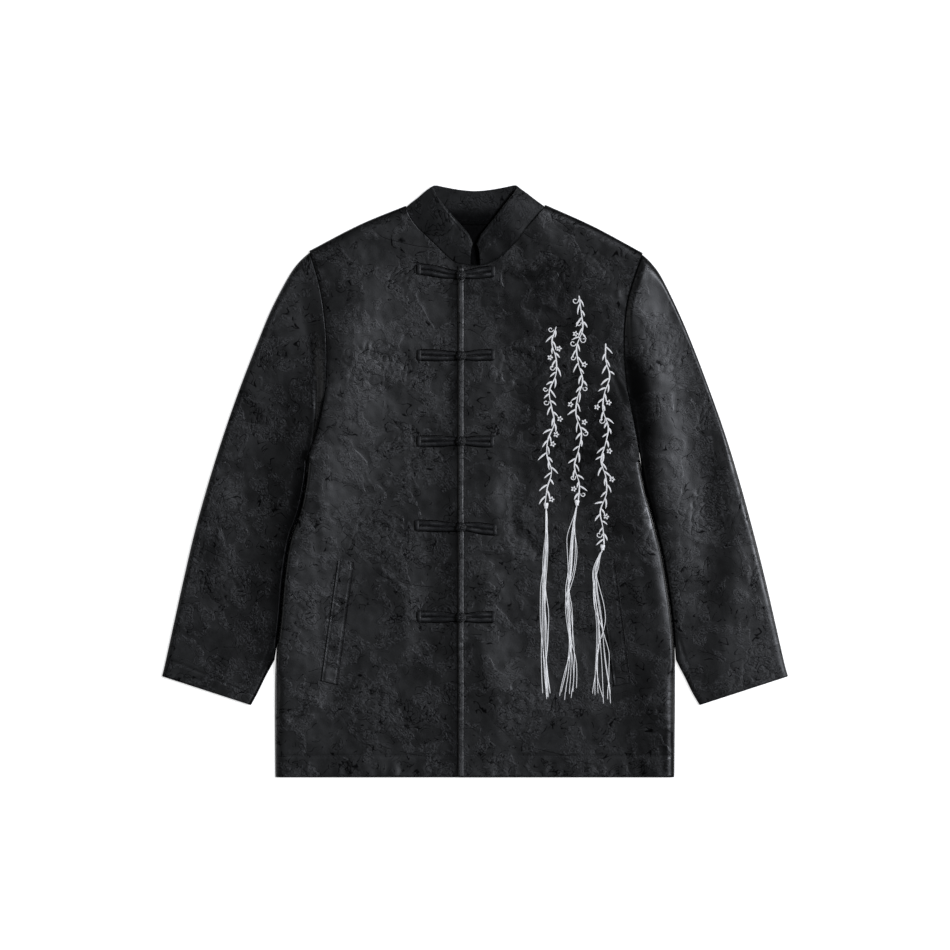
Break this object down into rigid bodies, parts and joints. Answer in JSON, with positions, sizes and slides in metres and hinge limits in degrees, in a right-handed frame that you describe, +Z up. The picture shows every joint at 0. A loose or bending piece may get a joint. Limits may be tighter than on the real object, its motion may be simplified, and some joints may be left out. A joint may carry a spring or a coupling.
{
  "type": "tang jacket",
  "caption": "Long-sleeved jacket with stand collar, knotted frog closures, welt pockets and loose thread tassels, laid flat.",
  "frame": {"origin": "centre of the laid out garment's footprint, on the surface it lies on", "axes": "+Z up off the surface, +Y towards the collar, +X across from the wearer's right cuff to the left cuff"},
  "size_m": [0.8264, 0.7812, 0.0191],
  "materials": {
    "back_panel": "near-black tone-on-tone jacquard",
    "right_front": "near-black tone-on-tone jacquard",
    "left_front": "near-black tone-on-tone jacquard",
    "right_sleeve": "near-black tone-on-tone jacquard",
    "left_sleeve": "near-black tone-on-tone jacquard",
    "stand_collar": "near-black tone-on-tone jacquard, stiffened",
    "front_edge_roll": "near-black tone-on-tone jacquard",
    "right_pocket_welt": "near-black tone-on-tone jacquard",
    "left_pocket_welt": "near-black tone-on-tone jacquard",
    "frog_1_loop_strap": "black satin bias strip",
    "frog_1_knot_strap": "black satin bias strip",
    "frog_1_knot": "black satin bias strip",
    "frog_2_loop_strap": "black satin bias strip",
    "frog_2_knot_strap": "black satin bias strip",
    "frog_2_knot": "black satin bias strip",
    "frog_3_loop_strap": "black satin bias strip",
    "frog_3_knot_strap": "black satin bias strip",
    "frog_3_knot": "black satin bias strip",
    "frog_4_loop_strap": "black satin bias strip",
    "frog_4_knot_strap": "black satin bias strip",
    "frog_4_knot": "black satin bias strip",
    "frog_5_loop_strap": "black satin bias strip",
    "frog_5_knot_strap": "black satin bias strip",
    "frog_5_knot": "black satin bias strip",
    "tassel_inner": "loose white embroidery thread",
    "tassel_middle": "loose white embroidery thread",
    "tassel_outer": "loose white embroidery thread"
  },
  "bodies": {
    "root": {"back_panel": "back_panel", "right_front": "right_front", "left_front": "left_front", "right_sleeve": "right_sleeve", "left_sleeve": "left_sleeve", "stand_collar": "stand_collar", "front_edge_roll": "front_edge_roll", "right_pocket_welt": "right_pocket_welt", "left_pocket_welt": "left_pocket_welt", "frog_1_loop_strap": "frog_1_loop_strap", "frog_1_knot_strap": "frog_1_knot_strap", "frog_1_knot": "frog_1_knot", "frog_2_loop_strap": "frog_2_loop_strap", "frog_2_knot_strap": "frog_2_knot_strap", "frog_2_knot": "frog_2_knot", "frog_3_loop_strap": "frog_3_loop_strap", "frog_3_knot_strap": "frog_3_knot_strap", "frog_3_knot": "frog_3_knot", "frog_4_loop_strap": "frog_4_loop_strap", "frog_4_knot_strap": "frog_4_knot_strap", "frog_4_knot": "frog_4_knot", "frog_5_loop_strap": "frog_5_loop_strap", "frog_5_knot_strap": "frog_5_knot_strap", "frog_5_knot": "frog_5_knot", "tassel_inner": "tassel_inner", "tassel_middle": "tassel_middle", "tassel_outer": "tassel_outer"}
  },
  "joints": []
}
